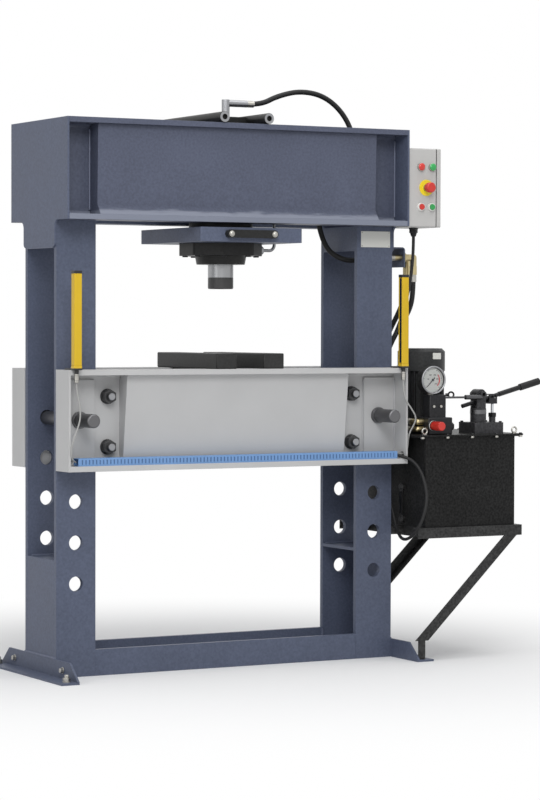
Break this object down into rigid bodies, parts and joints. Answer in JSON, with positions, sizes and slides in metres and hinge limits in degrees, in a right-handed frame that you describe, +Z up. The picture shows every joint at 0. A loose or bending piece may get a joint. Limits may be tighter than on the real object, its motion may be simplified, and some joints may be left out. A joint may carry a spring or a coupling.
{
  "type": "hydraulic workshop press",
  "caption": "Free-standing hydraulic workshop press with a travelling cylinder, pinned table, press blocks, light curtains and a side power unit with hand pump.",
  "frame": {"origin": "centre of the four floor bolt holes, on the floor", "axes": "+X along the beam to the power unit, +Y from the operator to the rear, +Z up"},
  "size_m": [2.1022, 0.7023, 2.1757],
  "materials": {
    "frame_paint": "satin paint with light orange peel",
    "table_paint": "satin grey paint",
    "yellow_paint": "satin yellow paint",
    "black_paint": "satin black paint",
    "dark_steel": "blackened steel",
    "bright_steel": "machined steel",
    "chrome": "hard chrome",
    "brass": "plated brass",
    "blue_plastic": "matte blue",
    "black_plastic": "matte black",
    "grey_plastic": "matte light grey",
    "red_plastic": "gloss red",
    "green_plastic": "gloss green",
    "hose_rubber": "matte black",
    "cable_grey": "matte grey",
    "motor_paint": "black paint"
  },
  "bodies": {
    "frame": {"front_uprights": "frame_paint", "rear_uprights": "frame_paint", "column_ties": "frame_paint", "base_rails": "frame_paint", "foot_angles": "frame_paint", "end_plates": "frame_paint", "front_beam_channel": "frame_paint", "rear_beam_channel": "frame_paint", "beam_covers": "frame_paint", "front_table_channel": "table_paint", "rear_table_channel": "table_paint", "table_end_plates": "table_paint", "table_covers": "table_paint", "tie_bolts": "dark_steel", "tie_spacers": "dark_steel", "press_blocks": "dark_steel", "cable_duct": "blue_plastic", "light_curtains": "yellow_paint", "curtain_caps": "black_plastic", "hose_bracket": "frame_paint", "hose_fittings": "brass", "tank_shelf": "black_paint", "shelf_struts": "black_paint", "oil_tank": "black_paint", "tank_lid": "black_paint", "motor_body": "motor_paint", "fan_cover": "motor_paint", "valve_block": "black_paint", "gauge_case": "black_paint", "hand_pump": "black_paint", "pump_pipe": "bright_steel", "control_box": "grey_plastic", "lower_hose": "hose_rubber", "upper_hose": "hose_rubber", "front_pump_hose": "hose_rubber", "rear_pump_hose": "hose_rubber", "control_cable": "hose_rubber", "left_sensor_cable": "cable_grey", "right_sensor_cable": "cable_grey"},
    "left_pin": {"left_pin": "dark_steel"},
    "right_pin": {"right_pin": "dark_steel"},
    "carriage": {"carriage_plate": "frame_paint", "carriage_handle": "black_paint", "cylinder_barrel": "black_paint", "cylinder_flange": "black_paint", "rod_gland": "black_paint", "trolley": "black_paint", "port_fittings": "bright_steel"},
    "ram": {"ram": "chrome", "ram_nose": "dark_steel"},
    "pump_lever": {"pump_lever": "black_paint", "lever_grip": "hose_rubber"},
    "pump_plunger": {"pump_plunger": "chrome"},
    "relief_knob": {"relief_knob": "red_plastic"},
    "gauge_needle": {"gauge_needle": "black_plastic"},
    "motor_rotor": {"motor_rotor": "bright_steel"},
    "control_door": {"control_door": "grey_plastic"},
    "estop_button": {"estop_button": "red_plastic"},
    "stop_button": {"stop_button": "red_plastic"},
    "start_button": {"start_button": "green_plastic"}
  },
  "joints": [
    {"name": "carriage_slide", "type": "slide", "parent": "frame", "child": "carriage", "axis": [1, 0, 0], "range_m": [-0.29, 0.22], "deforming": ["lower_hose", "upper_hose"]},
    {"name": "ram_slide", "type": "slide", "parent": "carriage", "child": "ram", "axis": [0, 0, -1], "range_m": [0, 0.235]},
    {"name": "left_pin_pull", "type": "slide", "parent": "frame", "child": "left_pin", "axis": [0, -1, 0], "range_m": [0, 0.33]},
    {"name": "right_pin_pull", "type": "slide", "parent": "frame", "child": "right_pin", "axis": [0, -1, 0], "range_m": [0, 0.33]},
    {"name": "pump_lever_pivot", "type": "hinge", "parent": "frame", "child": "pump_lever", "pos_m": [1.042, -0.229, 1.01], "axis": [0, 1, 0], "range_deg": [-12, 26]},
    {"name": "pump_plunger_slide", "type": "slide", "parent": "frame", "child": "pump_plunger", "axis": [0, 0, 1], "range_m": [-0.03, 0.0145]},
    {"name": "relief_knob_turn", "type": "hinge", "parent": "frame", "child": "relief_knob", "pos_m": [0.793, -0.3, 0.894], "axis": [0, -1, 0], "range_deg": [-180, 180]},
    {"name": "gauge_needle_turn", "type": "hinge", "parent": "frame", "child": "gauge_needle", "pos_m": [0.8, -0.284, 1.068], "axis": [0, 1, 0], "range_deg": [0, 270], "stiffness_Nm_per_rad": 0.004, "springref_deg": -28.65},
    {"name": "motor_spin", "type": "hinge", "parent": "frame", "child": "motor_rotor", "pos_m": [0.862, -0.1, 1.1], "axis": [0, 0, 1], "continuous": true},
    {"name": "control_door_hinge", "type": "hinge", "parent": "frame", "child": "control_door", "pos_m": [0.837, -0.04, 1.801], "axis": [0, 0, 1], "range_deg": [0, 110]},
    {"name": "estop_press", "type": "slide", "parent": "frame", "child": "estop_button", "axis": [0, 1, 0], "range_m": [0, 0.005], "stiffness_N_per_m": 900},
    {"name": "stop_press", "type": "slide", "parent": "frame", "child": "stop_button", "axis": [0, 1, 0], "range_m": [0, 0.004], "stiffness_N_per_m": 500},
    {"name": "start_press", "type": "slide", "parent": "frame", "child": "start_button", "axis": [0, 1, 0], "range_m": [0, 0.004], "stiffness_N_per_m": 500}
  ],
  "couplings": [
    {"joint": "pump_plunger_slide", "follows": "pump_lever_pivot", "m_per_rad": -0.063}
  ]
}
